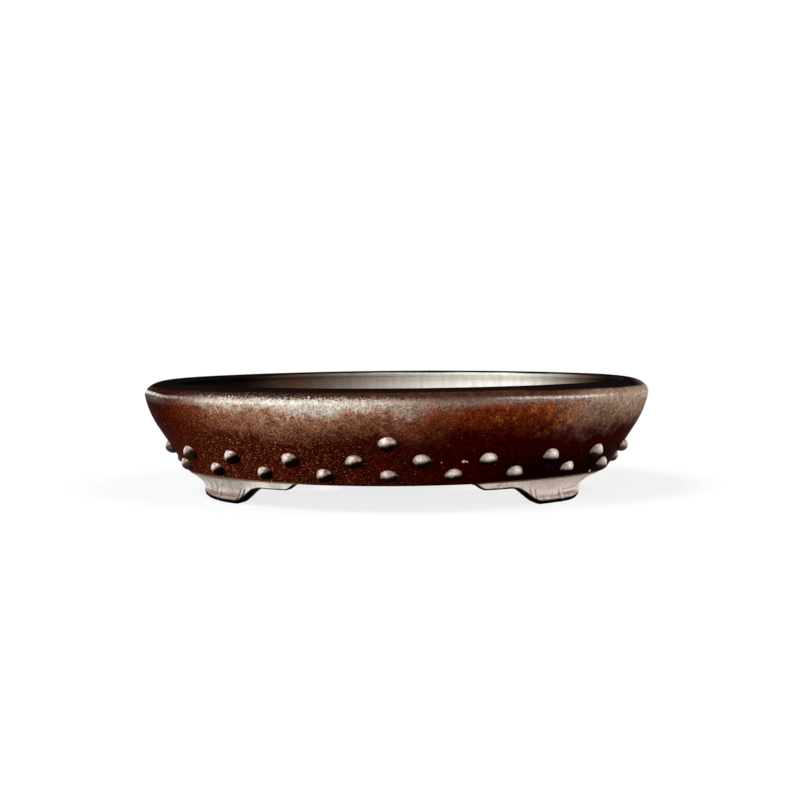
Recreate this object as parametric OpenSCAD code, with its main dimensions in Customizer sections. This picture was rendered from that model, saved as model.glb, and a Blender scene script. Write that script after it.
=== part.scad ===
// Oval bonsai pot of hand-built stoneware: floor slab, flared wall, inward rim, four bracket feet and
// two staggered rows of round rivets. Millimetres, Z up, length along X, front towards -Y, floor level at Z 0.

/* [Oval plan] */
// Overall length, at the widest level; the width follows from it
pot_length = 330; // [322:2:350]

/* [Wall and floor] */
// Height from the lower edge of the wall to its widest level
wall_height = 49.7; // [46:0.1:56]
// Thickness of the wall slab
wall_thickness = 8; // [6:0.5:9]
// Thickness of the wall under the lip, where the inside turns upright
mouth_thickness = 12.5; // [11.5:0.5:13]
// Lean of the lower wall from the vertical, in degrees
wall_lean = 32.5; // [28:0.5:34]
// Lean of the wall at its widest level, in degrees
top_lean = 10.5; // [7:0.5:13]
// Radius of the curve that joins the two leans
belly_radius = 58.5; // [52:0.5:63]
// Thickness of the floor slab
floor_thickness = 8; // [6:0.5:10]

/* [Rim] */
// How far the rim turns inward from the widest level to its crest
rim_reach = 13.4; // [12:0.1:15]
// How far the crest stands above the widest level
rim_rise = 8.8; // [8:0.1:10.5]
// Radius of the rounded nose on the inner edge of the rim
rim_nose = 2.2; // [1.6:0.1:2.6]
// Depth of the rim piece below the widest level
rim_skirt = 4; // [3:0.5:6]

/* [Rivets] */
// Number of rivets in each row
rivets_per_row = 20; // [16:1:20]
// Diameter of a rivet where it meets the wall
rivet_diameter = 11.4; // [9:0.2:12]
// Height of a rivet above the wall
rivet_height = 4.3; // [3.4:0.1:5]
// Height of the lower row above the wall's lower edge
lower_row_height = 6.8; // [6:0.2:8]
// Height of the upper row above the wall's lower edge
upper_row_height = 16; // [15.2:0.2:18]
// Height of the single rivet over the front centre, above the wall's lower edge
front_rivet_height = 26.8; // [25.8:0.2:30]

/* [Feet] */
// Height of the feet, which is the space under the body
foot_height = 16; // [14:0.5:20]
// Place of each leg along the wall's lower edge, from the middle of the long side
leg_place = 117.5; // [111:0.5:119]
// Reach of a foot's wing from the leg's middle towards the middle of the long side
long_wing = 60; // [54:1:64]
// Reach of a foot's short wing from the leg's middle towards the pot's end
end_wing = 34; // [30:1:37]
// Width of a leg on the ground
leg_width = 37; // [32:1:39]
// Width of the double curve between a leg and its long wing
ogee_width = 17; // [13:0.5:20]
// Height of the long wings
wing_height = 5; // [4:0.5:6]
// Depth of a foot from the wall's lower edge to its back
foot_depth = 12; // [11:0.5:18]
// How far the face of a foot is drawn in under the wall
cove_depth = 4.5; // [3:0.5:6]
// Height of the toe that stands out at the foot's lower edge
toe_height = 3.5; // [2.5:0.5:4.5]

/* [Floor holes] */
// Diameter of the two drain holes
drain_diameter = 22; // [16:1:28]
// Distance between the drain holes
drain_spacing = 120; // [100:2:140]
// Diameter of the four wire holes
wire_hole_diameter = 5; // [4:0.5:7]
// Distance between the wire holes along the pot
wire_spacing_x = 50; // [40:2:60]
// Distance between the wire holes across the pot
wire_spacing_y = 80; // [60:2:96]

/* [Hidden] */
$fn = 96;

// Node names
UPPER_RIVETS = [for (i = [1 : rivets_per_row]) str("rivet_upper_", i)];
LOWER_RIVETS = [for (i = [1 : rivets_per_row]) str("rivet_lower_", i)];
FEET = ["foot_front_right", "foot_front_left", "foot_rear_right", "foot_rear_left"];

// Colours of the fired clay
body_colour = [0.27, 0.13, 0.09];
rim_colour = [0.36, 0.24, 0.19];
floor_colour = [0.45, 0.37, 0.32];
foot_colour = [0.62, 0.52, 0.47];
rivet_colour = [0.58, 0.48, 0.44];

// Four-centred oval: two side curves and two end curves that share their tangents
// All four centres stand this far from the middle, so the curves meet at 45 degrees.
centre_shift = 80.782;
half_turn = 45;
end_radius = pot_length / 2 - centre_shift;
side_radius = end_radius + centre_shift * sqrt(2);
sweep_fn = 360;

// Section of the wall: a straight lean below and one curve above, about this centre
// In a section the first number is the offset from the widest oval, negative inward, and the second is Z.
base_z = foot_height;
floor_top = base_z + floor_thickness;
widest_z = base_z + wall_height;
joint_z = widest_z - rim_skirt;
crest_z = widest_z + rim_rise;
curve_o = -belly_radius * cos(top_lean);
curve_z = widest_z + belly_radius * sin(top_lean);
inner_radius = belly_radius - wall_thickness;
curve_steps = 10;
skirt_steps = 3;

// The curve of the inside is slid down along the lean, so that it turns upright under the lip.
inner_slide = (mouth_thickness + curve_o + inner_radius) / sin(wall_lean);
upright_z = curve_z - inner_slide * cos(wall_lean);

function curve_point(r, lean) = [curve_o + r * cos(lean), curve_z - r * sin(lean)];
function curve_lean(r, z) = asin((curve_z - z) / r);
function curve_run(r, lean_a, lean_b, steps) =
    [for (i = [0 : steps]) curve_point(r, lean_a + (lean_b - lean_a) * i / steps)];
function straight_point(r, z) =
    let (p = curve_point(r, wall_lean)) [p[0] - (p[1] - z) * tan(wall_lean), z];
function inner_lean(z) = asin((upright_z - z) / inner_radius);
function inner_run(lean_a, lean_b, steps) =
    [for (p = curve_run(inner_radius, lean_a, lean_b, steps))
        p - inner_slide * [sin(wall_lean), cos(wall_lean)]];
function face_lean(z) = min(wall_lean, curve_lean(belly_radius, z));
function face_point(z) =
    z < curve_point(belly_radius, wall_lean)[1]
        ? straight_point(belly_radius, z)
        : curve_point(belly_radius, curve_lean(belly_radius, z));

wall_section = concat(
    [straight_point(belly_radius, base_z)],
    curve_run(belly_radius, wall_lean, curve_lean(belly_radius, joint_z), curve_steps),
    inner_run(inner_lean(joint_z), wall_lean, curve_steps),
    [straight_point(inner_radius, base_z)]);

// Section of the rim: skirt, quarter-round shoulder, rounded nose and the slight hollow under the lip
quarter_steps = 9;
nose_steps = 8;
inner_skirt = inner_run(0, inner_lean(joint_z), skirt_steps);
hollow_reach = rim_reach - mouth_thickness;
hollow_rise = crest_z - 2 * rim_nose - upright_z;
shoulder = [for (i = [1 : quarter_steps])
    let (a = 90 * i / quarter_steps)
    [rim_reach * (cos(a) - 1), widest_z + rim_rise * sin(a)]];
nose = [for (i = [1 : nose_steps])
    let (a = 180 * i / nose_steps)
    [-rim_reach - rim_nose * sin(a), crest_z - rim_nose * (1 - cos(a))]];
hollow = [for (i = [1 : quarter_steps - 1])
    let (a = 90 - 90 * i / quarter_steps)
    [-rim_reach + hollow_reach * cos(a), upright_z + hollow_rise * sin(a)]];
rim_section = concat(
    curve_run(belly_radius, curve_lean(belly_radius, joint_z), top_lean, skirt_steps),
    shoulder, nose, hollow, inner_skirt);

// Section of the solid that the backs of the rivets are cut to
core_depth = 22;
base_o = straight_point(belly_radius, base_z)[0];
core_section = concat(
    [[base_o, base_z]],
    curve_run(belly_radius, wall_lean, top_lean, curve_steps),
    [[base_o - core_depth, widest_z], [base_o - core_depth, base_z]]);

// Section of the floor's edge, which is bevelled to the lean of the wall
edge_depth = 24;
plate_inset = edge_depth / 2;
floor_o = straight_point(inner_radius, base_z)[0];
floor_edge = [
    [floor_o, base_z],
    straight_point(inner_radius, floor_top),
    [floor_o - edge_depth, floor_top],
    [floor_o - edge_depth, base_z]];

// Section of a foot: a cove under the wall, then an upright face with a toe at its lower edge
cove_height = 9;
cove_radius = (cove_depth ^ 2 + cove_height ^ 2) / (2 * cove_depth);
cove_turn = asin(cove_height / cove_radius);
cove_steps = 6;
toe_step = 0.8;
trim = 1;
foot_face_o = base_o - cove_depth;
cove = [for (i = [0 : cove_steps])
    let (a = cove_turn * (1 - i / cove_steps))
    [foot_face_o + cove_radius * (1 - cos(a)), base_z - cove_height + cove_radius * sin(a)]];
foot_section = concat(
    cove,
    [[foot_face_o, toe_height + toe_step],
     [foot_face_o + toe_step, toe_height],
     [foot_face_o + toe_step, -trim],
     [base_o - foot_depth, -trim],
     [base_o - foot_depth, base_z]]);

// Front view of a foot: on one side a double curve and a long wing with a slanted tip, on the other
// side an upright edge that sweeps out into a short wing
ogee_steps = 12;
tip_slant = 8;
heel_round = 3;
heel_steps = 4;
end_upright = 6.5;
end_tip = 1.4;
leg_half = leg_width / 2;
wing_under = foot_height - wing_height;
long_side = concat(
    [[-long_wing - tip_slant * trim / wing_height, foot_height + trim],
     [-long_wing + tip_slant, wing_under]],
    [for (i = [ogee_steps : -1 : 0])
        let (t = i / ogee_steps)
        [-leg_half - ogee_width * t, wing_under * (1 - cos(180 * t)) / 2]]);
end_side = concat(
    [for (i = [0 : heel_steps])
        let (a = 90 * i / heel_steps)
        [leg_half - heel_round * (1 - sin(a)), heel_round * (1 - cos(a))]],
    [for (i = [0 : ogee_steps])
        let (a = 90 * i / ogee_steps)
        [end_wing - (end_wing - leg_half) * cos(a),
         end_upright + (foot_height - end_tip - end_upright) * sin(a)]],
    [[end_wing + end_tip + trim, foot_height + trim]]);
foot_outline = concat(long_side, end_side);
leg_angle = leg_place / (side_radius + base_o) * 180 / PI;
prism_length = 4 * foot_depth;

// A rivet is part of a ball with this radius
rivet_radius = ((rivet_diameter / 2) ^ 2 + rivet_height ^ 2) / (2 * rivet_height);

// Places along the oval at an offset, by the distance from the middle of the front
function on_arc(centre, r, angle) = [centre[0] + r * cos(angle), centre[1] + r * sin(angle), angle];
function side_length(o) = (side_radius + o) * half_turn * PI / 180;
function end_length(o) = 2 * (end_radius + o) * half_turn * PI / 180;
function girth(o) = 4 * side_length(o) + 2 * end_length(o);
function oval_spot(s, o) =
    let (side = side_length(o), end = end_length(o), r = side_radius + o, e = end_radius + o, deg = 180 / PI)
    s < side ? on_arc([0, centre_shift], r, -90 + deg * s / r)
    : s < side + end ? on_arc([centre_shift, 0], e, -half_turn + deg * (s - side) / e)
    : s < 3 * side + end ? on_arc([0, -centre_shift], r, half_turn + deg * (s - side - end) / r)
    : s < 3 * side + 2 * end ? on_arc([-centre_shift, 0], e, 180 - half_turn + deg * (s - 3 * side - end) / e)
    : on_arc([0, centre_shift], r, 180 + half_turn + deg * (s - 3 * side - 2 * end) / r);

// Sweeps a section along the whole oval
module oval_sweep(section) {
    for (half = [0, 180]) {
        rotate(half)
            translate([0, centre_shift, 0])
                rotate_extrude(start = -90 - half_turn, angle = 2 * half_turn, $fn = sweep_fn)
                    translate([side_radius, 0])
                        polygon(section);
        rotate(half)
            translate([centre_shift, 0, 0])
                rotate_extrude(start = -half_turn, angle = 2 * half_turn, $fn = sweep_fn)
                    translate([end_radius, 0])
                        polygon(section);
    }
}

// Sweeps a section along the front right quarter of the oval
module quarter_sweep(section) {
    translate([0, centre_shift, 0])
        rotate_extrude(start = -90, angle = half_turn, $fn = sweep_fn)
            translate([side_radius, 0])
                polygon(section);
    translate([centre_shift, 0, 0])
        rotate_extrude(start = -half_turn, angle = half_turn, $fn = sweep_fn)
            translate([end_radius, 0])
                polygon(section);
}

// Upright hole through the floor slab
module floor_hole(x, y, diameter) {
    translate([x, y, base_z - trim])
        cylinder(d = diameter, h = floor_thickness + 2 * trim);
}

// Floor slab with drain and wire holes
module floor_slab() {
    plate_steps = 48;
    plate_o = floor_o - plate_inset;
    plate = [for (i = [0 : plate_steps - 1])
        let (spot = oval_spot(girth(plate_o) * i / plate_steps, plate_o))
        [spot[0], spot[1]]];
    color(floor_colour)
        difference() {
            union() {
                oval_sweep(floor_edge);
                translate([0, 0, base_z])
                    linear_extrude(floor_thickness)
                        polygon(plate);
            }
            for (side = [-1, 1]) {
                floor_hole(side * drain_spacing / 2, 0, drain_diameter);
                for (across = [-1, 1]) {
                    floor_hole(side * wire_spacing_x / 2, across * wire_spacing_y / 2, wire_hole_diameter);
                }
            }
        }
}

// Flared wall slab, bent round the floor
module wall() {
    color(body_colour)
        oval_sweep(wall_section);
}

// Rim that turns inward on top of the wall
module rim() {
    color(rim_colour)
        oval_sweep(rim_section);
}

// Bracket foot under the front right of the pot; the other three are its mirror images
module foot(left, rear) {
    color(foot_colour)
        mirror([left, 0, 0])
            mirror([0, rear, 0])
                intersection() {
                    quarter_sweep(foot_section);
                    translate([0, centre_shift, 0])
                        rotate(leg_angle - 90)
                            translate([side_radius + base_o, 0, 0])
                                rotate([90, 0, 90])
                                    linear_extrude(prism_length, center = true)
                                        polygon(foot_outline);
                }
}

// Round rivet pressed on the wall, at a share of the girth from the front centre
module rivet(share, height) {
    z = base_z + height;
    o = face_point(z)[0];
    spot = oval_spot(share * girth(o), o);
    color(rivet_colour)
        difference() {
            translate([spot[0], spot[1], z])
                rotate([0, 90 + face_lean(z), spot[2]])
                    translate([0, 0, rivet_height - rivet_radius])
                        sphere(rivet_radius);
            oval_sweep(core_section);
        }
}

floor_slab();
wall();
rim();
foot(0, 0);  // foot_front_right
foot(1, 0);  // foot_front_left
foot(0, 1);  // foot_rear_right
foot(1, 1);  // foot_rear_left
rivet(0, front_rivet_height);  // rivet_front
for (i = [1 : rivets_per_row]) {
    rivet((i - 0.5) / rivets_per_row, upper_row_height);
    rivet((i - 1) / rivets_per_row, lower_row_height);
}
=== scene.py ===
import math
import random

import bpy
import numpy as np
from mathutils import Matrix, Vector, geometry, noise


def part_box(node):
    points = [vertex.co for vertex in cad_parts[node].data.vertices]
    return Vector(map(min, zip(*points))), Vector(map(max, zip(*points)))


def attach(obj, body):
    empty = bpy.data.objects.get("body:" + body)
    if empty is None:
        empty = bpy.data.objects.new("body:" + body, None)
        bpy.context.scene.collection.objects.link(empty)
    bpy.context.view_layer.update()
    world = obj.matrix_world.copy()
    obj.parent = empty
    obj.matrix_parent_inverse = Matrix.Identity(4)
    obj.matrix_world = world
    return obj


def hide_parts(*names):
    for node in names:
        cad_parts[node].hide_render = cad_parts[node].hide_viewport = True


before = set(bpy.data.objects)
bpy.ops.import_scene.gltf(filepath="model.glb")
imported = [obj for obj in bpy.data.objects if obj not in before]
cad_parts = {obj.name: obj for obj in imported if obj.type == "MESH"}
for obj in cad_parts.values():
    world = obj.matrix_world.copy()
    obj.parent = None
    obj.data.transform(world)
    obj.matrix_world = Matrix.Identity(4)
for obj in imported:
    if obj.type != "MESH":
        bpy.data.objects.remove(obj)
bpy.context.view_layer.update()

MM = 0.001

# Oval plan and levels, from the frame
rim_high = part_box("rim")[1]
wall_low, wall_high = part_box("wall")
CENTRE_SHIFT = (rim_high.x - rim_high.y) / (2 - math.sqrt(2))
END_RADIUS = rim_high.x - CENTRE_SHIFT
SIDE_RADIUS = rim_high.y + CENTRE_SHIFT
EIGHTH = math.pi / 4
BASE_Z = wall_low.z
JOINT_Z = wall_high.z
CREST_Z = rim_high.z

# Section of the wall and the rim
WALL_THICKNESS = 8 * MM
MOUTH_THICKNESS = 12.5 * MM
WALL_LEAN = math.radians(32.5)
TOP_LEAN = math.radians(10.5)
BELLY_RADIUS = 58.5 * MM
INNER_RADIUS = BELLY_RADIUS - WALL_THICKNESS
RIM_REACH = 13.4 * MM
RIM_RISE = 8.8 * MM
RIM_NOSE = 2.2 * MM
WIDEST_Z = CREST_Z - RIM_RISE
CURVE_O = -BELLY_RADIUS * math.cos(TOP_LEAN)
CURVE_Z = WIDEST_Z + BELLY_RADIUS * math.sin(TOP_LEAN)
INNER_O = -MOUTH_THICKNESS - INNER_RADIUS
UPRIGHT_Z = CURVE_Z - (MOUTH_THICKNESS + CURVE_O + INNER_RADIUS) / math.tan(WALL_LEAN)

# Rounded lower edge of the wall: points inward of its corner and above it, as shares of EDGE_ROUND
EDGE_ROUND = 0.9 * MM
EDGE_POINTS = ((2, 0), (0.6, 0.12))
UNDER_INSET = 3

# Steps along the section and stations round the pot
FACE_STEPS, INNER_STEPS, UNDER_STEPS = 60, 40, 4
JOINT_STEPS, SHOULDER_STEPS, CREST_STEPS, NOSE_STEPS, HOLLOW_STEPS, LIP_STEPS = 6, 40, 4, 14, 8, 8
RING_COUNT = 720

# Turn of the lip, in degrees, where the inside clay begins, and the wander of the black painted shade on its
# top, in mm
INSIDE_TURN = 130
LIP_WANDER, LIP_LENGTH, LIP_SEED = 0.4, 25 * MM, 8.3

# Hand work: how far the clay strays from the true form, and over what length
STRAY = 0.5 * MM
STRAY_LENGTH = 45 * MM
STRAY_SQUEEZE = (1, 1, 1.6)
STRAY_SEED = 3.1

# Rivets
RIVETS_PER_ROW = 20
RIVET_RADIUS = 5.7 * MM
RIVET_HEIGHT = 4.3 * MM
RIVET_SKIRT = 1.2 * MM
LOWER_ROW = 6.8 * MM
UPPER_ROW = 16 * MM
FRONT_RIVET = 26.8 * MM
LOWER_SIZE = 0.92
RIVET_RINGS, RIVET_SEGMENTS, RIVET_SHARP = 16, 44, 60
FRONT_SEED, UPPER_SEED, LOWER_SEED = 100, 200, 300

# Hand work: how far single rivets stand along the wall from their even places, in mm
HAND_RIVETS = {
    "rivet_upper_2": 0.5, "rivet_upper_3": 2.8, "rivet_upper_4": 0.8, "rivet_upper_17": -1.7,
    "rivet_upper_18": -2.3, "rivet_lower_2": 0.7, "rivet_lower_3": 1.5, "rivet_lower_4": 1.9,
    "rivet_lower_5": -3.0, "rivet_lower_18": -2.8, "rivet_lower_19": -2.6, "rivet_lower_20": -0.6}

# Hand work: ranges of the rivets' height, width, flatness and tilt, then squeezed outlines and dents
TALL_RANGE, WIDE_RANGE, FLAT_RANGE, TILT_RANGE = (0.88, 1.0), (0.94, 1.0), (0.84, 0.96), (-0.4, 0.4)
SQUEEZE, SQUEEZE_RATE = 0.10, 0.9
DENT, DENT_LENGTH = 0.06, 2.6 * MM

# Hand work: a pit on the top of single rivets, with its place as shares of the radius, and a drawn-out tail
RIVET_PITS = {"rivet_upper_20": (-0.35, -0.1), "rivet_lower_1": (-0.5, 0.1)}
RIVET_TAILS = {"rivet_lower_1": 0.42}
PIT_SIZE = 0.9 * MM
TAIL_WIDTH = 0.16

# Feet: node, on the left, at the rear, seed of its hand work
FEET = (
    ("foot_front_right", False, False, 11), ("foot_rear_right", False, True, 14),
    ("foot_front_left", True, False, 18), ("foot_rear_left", True, True, 21))
LEG_PLACE = 117.5 * MM
LONG_WING = 62.5 * MM
END_WING = 34 * MM
LEG_HALF = 18.5 * MM
OGEE_WIDTH = 18.5 * MM
TOE_ROUND = 6 * MM
WING_HEIGHT = 4.2 * MM
TIP_SLANT = 8 * MM
TIP_HEIGHT = 0.3 * MM
HEEL_WIDTH = 12 * MM
HEEL_RISE = 4 * MM
END_UPRIGHT = 6.5 * MM
END_TIP = 1.4 * MM
FOOT_DEPTH = 12 * MM
TIP_DEPTH = 6 * MM
FOOT_TAPER = 1.5 * MM
COVE_DEPTH = 4.5 * MM
COVE_HEIGHT = 9 * MM

# Mesh of a foot; the wings bend round the oval, so they are longer along it
FOOT_STEP = 0.35 * MM
HEEL_SEAM = 0.02 * MM
FACE_ROWS, BACK_ROWS, FOOT_SHARP = 48, 7, 50
LONG_SPARE, END_SPARE, SPARE_STATIONS = 1.2, 1.4, 400

# Hand work on the front feet: shift along the wall, half widths towards the wing and the heel, heel lift
HAND_FEET = {
    "foot_front_left": (3.5 * MM, 19 * MM, 20 * MM, 1.3 * MM),
    "foot_front_right": (-3.5 * MM, 19.8 * MM, 19.3 * MM, 0.2 * MM)}

# Where the lift begins, as a share of the half width
LIFT_START = -0.3

# Hand work on the faces of the feet: length and reach of the wander, fading of the cut marks near the wall
WANDER_LENGTH, WANDER_SHIFT, WANDER_DEPTH = 6 * MM, 0.7 * MM, 0.25 * MM
RELIEF_FADE = 3 * MM

# Share of the cove, and depth and width of the rounded lower edge, each on a leg and on a wing
COVE_SHARE = (1.0, 0.3)
LOWER_DEPTH = (1.4 * MM, 0.8 * MM)
LOWER_WIDTH = (2.2 * MM, 1.2 * MM)

# Cut marks, in mm: corner cut's place and slant, heights of a bead and of the lower lip
LEFT_MARKS = (-18, 0.55, 0.2, 0.7)
RIGHT_MARKS = (-20.5, 0.24, 1.0, 0.4)

# Corner cut, in mm: level of its place, its ends, and the place, width and height of its lines
CUT_LEVEL = 4
CUT_ENDS = (1, 2.5, 8.5, 11)
CUT_LINES = ((0, 1.2, 0.7), (1.9, 0.9, -0.7), (-1.8, 0.8, -0.7))

# Panel with a lower lip, in mm: ends beyond the cut and before the heel, top of the lip, groove above it
PANEL_START, PANEL_END = (1.5, 3.5), (-3.5, -1)
LIP_TOP = (3.4, 4.8)
GROOVE_LEVEL, GROOVE_WIDTH, GROOVE_DEPTH = 5.6, 1.6, 0.4

# Middle wedge, bead and bevelled heel, in mm; the wedge has its place and width at the top and below
WEDGE_TOP, WEDGE_FADE, WEDGE_HEIGHT = 10.5, 6.5, 1.4
WEDGE_PLACE, WEDGE_WIDTH = (0.2, 1.5), (0.5, 2.3)
BEAD_LEVEL, BEAD_SLOPE, BEAD_WIDTH = 6.16, 0.08, 1.1
BEAD_ENDS = (2, 3.5, 13, 16)
BEVEL_DEPTH, BEVEL_ENDS = 0.9, (-1.6, 0, 0, 3)

# Looks of the feet: width of the black painted shade at the lower edge, on leg and wing in mm, darkest
# painted shade in a cut, tones of leg and wing, tone of the lip
LEFT_LOOKS = ((2.2, 0.3), 0.85, (0.45, 1.30), -0.85)
RIGHT_LOOKS = ((2.2, 0.7), 0.4, (1.10, 0.85), -0.70)
# Painted shade on the feet: fade and wander of its border above the lower edge, its share where the
# underside meets the back; depth of a cut and height of a ridge for full painted shade and painted highlight
EDGE_SHADE_FADE, EDGE_SHADE_WANDER, BACK_SHADE_SHARE = 0.9 * MM, 0.25 * MM, 0.45
CUT_SHADE_DEPTH, RIDGE_HIGHLIGHT_HEIGHT = 0.22 * MM, 0.25 * MM
LIP_TONE_TOP = (4.5 * MM, 8 * MM)
HEEL_FADE = 4 * MM
HIDDEN_TONE = 0.3

# Neighbours over which the cut marks are softened, and against which cuts and ridges show
NEAR_ROWS, WIDE_ROWS = 1, 3

# Floor
FLOOR_THICKNESS = 8 * MM
DRAIN_RADIUS, DRAIN_SIDES = 11 * MM, 64
WIRE_RADIUS, WIRE_SIDES = 2.5 * MM, 32
HOLES = [((x * MM, 0), DRAIN_RADIUS, DRAIN_SIDES) for x in (-60, 60)]
HOLES += [((x * MM, y * MM), WIRE_RADIUS, WIRE_SIDES) for x in (-25, 25) for y in (-40, 40)]
HOLE_ROUND = 0.9 * MM
FILLET_REACH = 5 * MM
FILLET_RISE = 2.4 * MM
FLOOR_STATIONS, FILLET_ROWS, HOLE_ROWS = 240, 7, 5
FLOOR_SPREAD = 5 * MM
FLOOR_STRAY, FLOOR_LENGTH, FLOOR_SEED = 0.3 * MM, 24 * MM, 5.7
WELD = 0.001 * MM
CAP_TOLERANCE = 1e-9

# Colours of the wall and the rim
BLACK = (0.006, 0.004, 0.004, 1)
WALL_RED = (0.042, 0.0004, 0.0003, 1)
WALL_BROWN = (0.092, 0.010, 0.003, 1)
LOW_CORNER = (0.008, 0.0002, 0.0002, 1)
RUST = (0.225, 0.034, 0.008, 1)
UPPER_BROWN = (0.150, 0.070, 0.040, 1)
TAN = (0.440, 0.300, 0.206, 1)
WARM_PAINTED_SHEEN = (0.430, 0.205, 0.118, 1)
PALE_PAINTED_SHEEN = (0.760, 0.690, 0.580, 1)
ORANGE_PATCH = (0.500, 0.140, 0.025, 1)
END_BROWN = (0.080, 0.008, 0.001, 1)
TIP_DARK = (0.026, 0.0006, 0.0002, 1)
TOP_RIGHT = (0.062, 0.020, 0.010, 1)
TOP_LEFT = (0.026, 0.006, 0.003, 1)
PAINTED_TURN_HIGHLIGHT = (0.90, 0.80, 0.70, 1)
GOLD = (0.78, 0.36, 0.16, 1)
SMALL_CHIP = (0.60, 0.44, 0.38, 1)
LARGE_CHIP = (0.85, 0.68, 0.52, 1)
PAINTED_SEAM_HIGHLIGHT = (0.74, 0.46, 0.26, 1)

# Colours of the inside, the feet and the rivets
INSIDE_PAINTED_SHADE = (0.004, 0.002, 0.001, 1)
INSIDE_BROWN = (0.085, 0.046, 0.028, 1)
INSIDE_CLOUD = (0.26, 0.19, 0.145, 1)
INSIDE_PAINTED_LIGHT = (0.90, 0.87, 0.80, 1)
INSIDE_GRIT = (0.45, 0.40, 0.35, 1)
FOOT_DARK = (0.36, 0.255, 0.21, 1)
FOOT_PALE = (1.0, 0.93, 0.86, 1)
FOOT_PINK = (1.0, 0.88, 0.84, 1)
FOOT_GRIT = (0.24, 0.14, 0.115, 1)
FOOT_CUT_SHADE = (0.06, 0.03, 0.025, 1)
RIVET_DARK = (0.20, 0.105, 0.075, 1)
RIVET_PALE = (0.52, 0.37, 0.29, 1)
RIVET_PAINTED_HIGHLIGHT = (1.0, 0.91, 0.83, 1)
RIVET_GRIT = (0.10, 0.05, 0.04, 1)
RIVET_BLACK = (0.006, 0.0025, 0.002, 1)
RIVET_GLOSS = (1.0, 0.80, 0.68, 1)

# Single pale chips on the front of the wall and rim: x, y, z and radius in mm, and the share that is solid
CHIPS = (
    (43.6, -95.2, 31.2, 1.3), (45.6, -94.9, 30.7, 1.0), (-64.0, -98.6, 73.8, 0.7),
    (-44.1, -110.5, 70.5, 0.7), (30.9, -97.8, 30.8, 0.6), (123.0, -41.1, 18.0, 1.2))
CHIP_CORE = 0.6

# Usual range of a noise node, and sizes of the clay's grain
NOISE_LOW, NOISE_HIGH = 0.3, 0.7
GRAIN_SIZE, GRIT_SIZE, MOTTLE_SIZE = 1.1 * MM, 0.9 * MM, 3.4 * MM

# Camera, from the photograph
CAMERA_PLACE = (35.3 * MM, -748.2 * MM, 115.8 * MM)
CAMERA_YAW = math.radians(-2.476)
CAMERA_PITCH = math.radians(-4.254)
CAMERA_ROLL = math.radians(0.541)
PICTURE_WIDTH = 800
FOCAL_PIXELS = 1134
SENSOR_WIDTH = 36

# Light: tall windows on the left and the right, each as a low and a high lamp (elevation, level)
KEY_AZIMUTH, KEY_LAMPS = -54, ((10, 0.50), (52, 0.75))
FILL_AZIMUTH, FILL_LAMPS = 62, ((12, 0.45), (50, 0.35))
LAMP_SPREAD = 22
AMBIENT = 0.06
FLOOR_ALBEDO = 0.20
FLOOR_GLOW = 0.80
STAGE_RADIUS = 5.0
STAGE_WALL = 2.0
STAGE_SIDES = 96


# Oval and section

def oval_stations(lengths, offset=0.0):
    """Arc centres, arc radii and outward directions at distances along the oval from the front centre."""
    side, end = SIDE_RADIUS + offset, END_RADIUS + offset
    turns = np.array([1, 2, 2, 2, 1]) * EIGHTH
    radii = np.array([side, end, side, end, side])
    centres = np.array([[0, 1], [1, 0], [0, -1], [-1, 0], [0, 1]]) * CENTRE_SHIFT
    starts = np.array([-2, -1, 1, 3, 5]) * EIGHTH
    knots = np.concatenate([[0], np.cumsum(turns * radii)])
    along = np.mod(np.atleast_1d(lengths).astype(float), knots[-1])
    arc = np.minimum(np.searchsorted(knots, along, side="right") - 1, len(radii) - 1)
    angle = starts[arc] + (along - knots[arc]) / radii[arc]
    outward = np.stack([np.cos(angle), np.sin(angle)], 1)
    return centres[arc], radii[arc] - offset, outward


def girth(offset):
    return math.pi * (SIDE_RADIUS + END_RADIUS + 2 * offset)


def oval_points(stations, offsets, heights):
    """Grid of points: one row for each offset and height, one column for each station."""
    centres, radii, outward = stations
    reach = radii[None, :] + np.reshape(offsets, (-1, 1))
    plan = centres[None] + reach[..., None] * outward[None]
    z = np.broadcast_to(np.reshape(heights, (len(plan), -1)), plan.shape[:2])
    return np.concatenate([plan, z[..., None]], 2)


def face_offset(z, radius=BELLY_RADIUS, centre_o=CURVE_O, centre_z=CURVE_Z):
    """Offset of a wall face at a height: a straight lean below, one curve above."""
    depth = centre_z - np.asarray(z, float)
    knee = radius * math.sin(WALL_LEAN)
    curve = centre_o + np.sqrt(np.maximum(radius ** 2 - depth ** 2, 0))
    straight = centre_o + radius * math.cos(WALL_LEAN) - (depth - knee) * math.tan(WALL_LEAN)
    return np.where(depth > knee, straight, curve)


def inner_offset(z):
    return face_offset(z, INNER_RADIUS, INNER_O, UPRIGHT_Z)


def face_lean(z):
    return min(WALL_LEAN, math.asin((CURVE_Z - z) / BELLY_RADIUS))


BASE_O = float(face_offset(BASE_Z))


def face_run(offset_at, z_from, z_to, steps):
    z = np.linspace(z_from, z_to, steps + 1)
    return np.stack([offset_at(z), z], 1)


def arc_run(centre, reach, rise, start, end, steps):
    """Part of an ellipse in a section, angles in degrees from the outward side."""
    a = np.radians(np.linspace(start, end, steps + 1))
    return np.stack([centre[0] + reach * np.cos(a), centre[1] + rise * np.sin(a)], 1)


# Fields

def smoothstep(value, low, high):
    t = np.clip((value - low) / (high - low), 0, 1)
    return t * t * (3 - 2 * t)


def plateau(value, start, full, fall, end):
    """Rises from 0 at start to 1 at full, and falls from 1 at fall to 0 at end."""
    return smoothstep(value, start, full) * (1 - smoothstep(value, fall, end))


def ridge(distance, width):
    return np.clip(1 - np.abs(distance) / width, 0, 1)


def between(first, second, share):
    return first + (second - first) * share


def softened(field, reach):
    """Box average of a field over a few neighbours each way."""
    for side in (0, 1):
        field = np.mean([np.roll(field, k, side) for k in range(-reach, reach + 1)], 0)
    return field


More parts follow.
